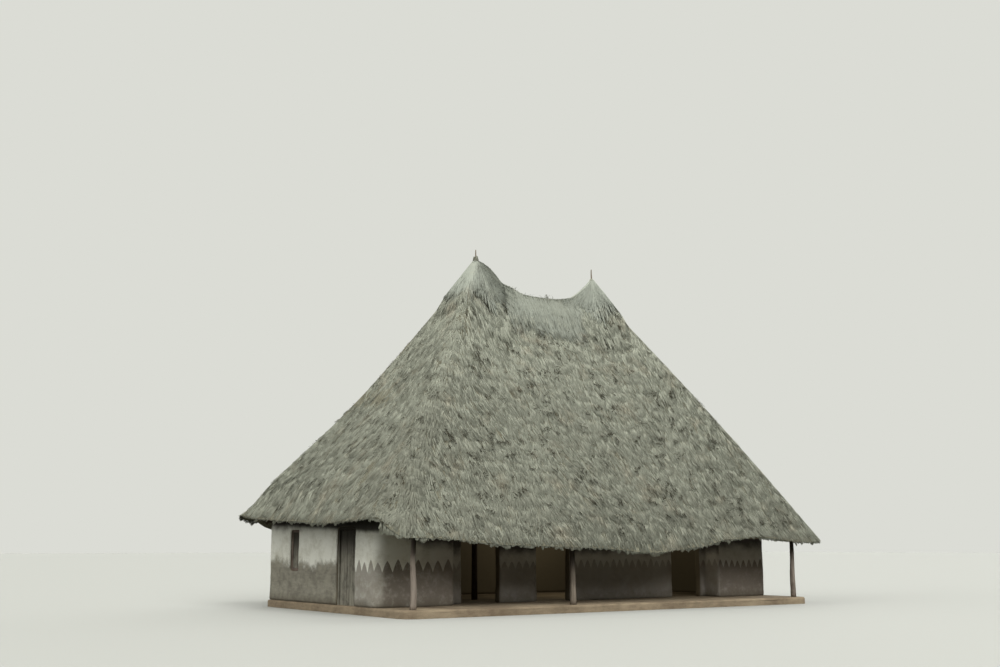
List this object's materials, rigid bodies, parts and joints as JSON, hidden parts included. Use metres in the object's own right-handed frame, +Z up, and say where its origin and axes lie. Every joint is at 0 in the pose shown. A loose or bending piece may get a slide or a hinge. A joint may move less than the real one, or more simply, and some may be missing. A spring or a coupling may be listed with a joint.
{
  "type": "long thatched house",
  "caption": "Long mud-walled house with a plank end door, a shallow porch with open doorways, and one steep hipped thatched roof with two pointed caps.",
  "frame": {"origin": "on the ground under the middle of the ridge, which is the middle of the roof's outline", "axes": "+X along the house to the right seen from the porch, +Y from the porch to the back, +Z up"},
  "size_m": [14.5206, 8.4806, 9.73],
  "materials": {
    "whitewash": "matt lime wash on mud, worn to bare mud at the foot, with a dark saw-tooth band along the porch",
    "rammed_earth": "matt beaten earth",
    "thatch": "weathered grey-green grass thatch",
    "cap_thatch": "smoother, paler grass thatch",
    "roof_poles": "smoke-darkened peeled poles",
    "timber": "weathered peeled wood",
    "planks": "weathered split planks"
  },
  "bodies": {
    "house": {"earth_floor": "rammed_earth", "left_wall_back": "whitewash", "left_wall_front": "whitewash", "left_wall_over_door": "whitewash", "end_door_frame": "timber", "window_frame": "timber", "window_shutter": "planks", "porch_wall_left": "whitewash", "porch_wall_middle": "whitewash", "porch_wall_right": "whitewash", "porch_wall_far_right": "whitewash", "left_lintel": "timber", "middle_lintel": "timber", "right_lintel": "timber", "wall_over_left_doorway": "whitewash", "wall_over_middle_doorway": "whitewash", "wall_over_right_doorway": "whitewash", "left_room_wall": "whitewash", "right_room_wall": "whitewash", "right_wall": "whitewash", "back_wall": "whitewash", "left_wall_plate": "timber", "right_wall_plate": "timber", "back_wall_plate": "timber", "porch_wall_plate": "timber", "front_rafters": "roof_poles", "back_rafters": "roof_poles", "left_rafters": "roof_poles", "right_rafters": "roof_poles", "left_centre_post": "roof_poles", "right_centre_post": "roof_poles", "ridge_pole": "roof_poles", "veranda_beam": "timber", "veranda_post_left": "timber", "veranda_post_middle": "timber", "veranda_post_right": "timber", "front_thatch": "thatch", "back_thatch": "thatch", "left_thatch": "thatch", "right_thatch": "thatch", "ridge_thatch": "thatch", "left_cap": "cap_thatch", "right_cap": "cap_thatch"},
    "door": {"end_door": "planks"}
  },
  "joints": [
    {"name": "end_door_hinge", "type": "hinge", "parent": "house", "child": "door", "pos_m": [-6.39, -0.6261, 0.18], "axis": [0, 0, 1], "range_deg": [0, 90]}
  ]
}
